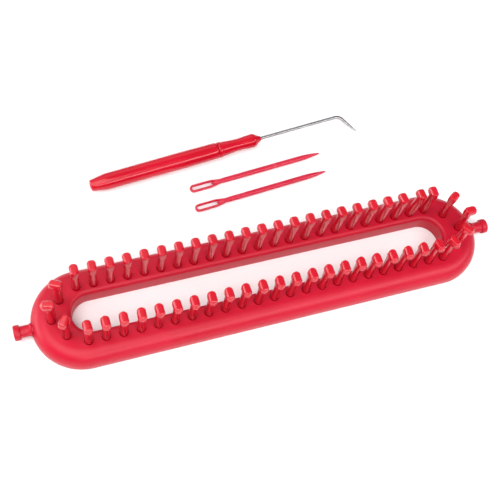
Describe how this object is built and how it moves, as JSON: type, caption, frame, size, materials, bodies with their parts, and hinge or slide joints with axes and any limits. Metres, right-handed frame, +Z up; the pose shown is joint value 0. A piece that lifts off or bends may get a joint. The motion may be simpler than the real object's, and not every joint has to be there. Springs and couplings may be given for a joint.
{
  "type": "peg knitting loom set",
  "caption": "Long racetrack knitting loom with hooked pegs around a central slot and a spool knob at each end, with a bent hook tool and long-eyed yarn needles beside it.",
  "frame": {"origin": "centre of the loom's central slot, on the table top that everything rests on", "axes": "+X along the loom's length towards the right-hand knob, +Y across it towards the hook tool and needles, +Z up"},
  "size_m": [0.2988, 0.1292, 0.0368],
  "materials": {
    "frame_plastic": "satin moulded red",
    "peg_plastic": "glossy bright red",
    "handle_plastic": "glossy deep red",
    "needle_plastic": "glossy red, slightly translucent",
    "hook_steel": "bright plated steel"
  },
  "bodies": {
    "loom": {"loom_frame": "frame_plastic", "peg_back_01": "peg_plastic", "peg_back_02": "peg_plastic", "peg_back_03": "peg_plastic", "peg_back_04": "peg_plastic", "peg_back_05": "peg_plastic", "peg_back_06": "peg_plastic", "peg_back_07": "peg_plastic", "peg_back_08": "peg_plastic", "peg_back_09": "peg_plastic", "peg_back_10": "peg_plastic", "peg_back_11": "peg_plastic", "peg_back_12": "peg_plastic", "peg_back_13": "peg_plastic", "peg_back_14": "peg_plastic", "peg_back_15": "peg_plastic", "peg_back_16": "peg_plastic", "peg_back_17": "peg_plastic", "peg_back_18": "peg_plastic", "peg_back_19": "peg_plastic", "peg_back_20": "peg_plastic", "peg_back_21": "peg_plastic", "peg_back_22": "peg_plastic", "peg_back_23": "peg_plastic", "peg_front_01": "peg_plastic", "peg_front_02": "peg_plastic", "peg_front_03": "peg_plastic", "peg_front_04": "peg_plastic", "peg_front_05": "peg_plastic", "peg_front_06": "peg_plastic", "peg_front_07": "peg_plastic", "peg_front_08": "peg_plastic", "peg_front_09": "peg_plastic", "peg_front_10": "peg_plastic", "peg_front_11": "peg_plastic", "peg_front_12": "peg_plastic", "peg_front_13": "peg_plastic", "peg_front_14": "peg_plastic", "peg_front_15": "peg_plastic", "peg_front_16": "peg_plastic", "peg_front_17": "peg_plastic", "peg_front_18": "peg_plastic", "peg_front_19": "peg_plastic", "peg_front_20": "peg_plastic", "peg_front_21": "peg_plastic", "peg_front_22": "peg_plastic", "peg_front_23": "peg_plastic", "peg_left_1": "peg_plastic", "peg_left_2": "peg_plastic", "peg_left_3": "peg_plastic", "peg_right_1": "peg_plastic", "peg_right_2": "peg_plastic", "peg_right_3": "peg_plastic", "knob_left": "frame_plastic", "knob_right": "frame_plastic"},
    "hook_tool": {"tool_barrel": "handle_plastic", "tool_grip": "handle_plastic", "tool_hook": "hook_steel"},
    "needle_1": {"needle_1": "needle_plastic"},
    "needle_2": {"needle_2": "needle_plastic"}
  },
  "joints": [
    {"name": "hook_lift", "type": "slide", "parent": "loom", "child": "hook_tool", "axis": [0, 0, 1], "range_m": [0, 0.1]},
    {"name": "needle_1_lift", "type": "slide", "parent": "loom", "child": "needle_1", "axis": [0, 0, 1], "range_m": [0, 0.08]},
    {"name": "needle_2_lift", "type": "slide", "parent": "loom", "child": "needle_2", "axis": [0, 0, 1], "range_m": [0, 0.08]}
  ]
}
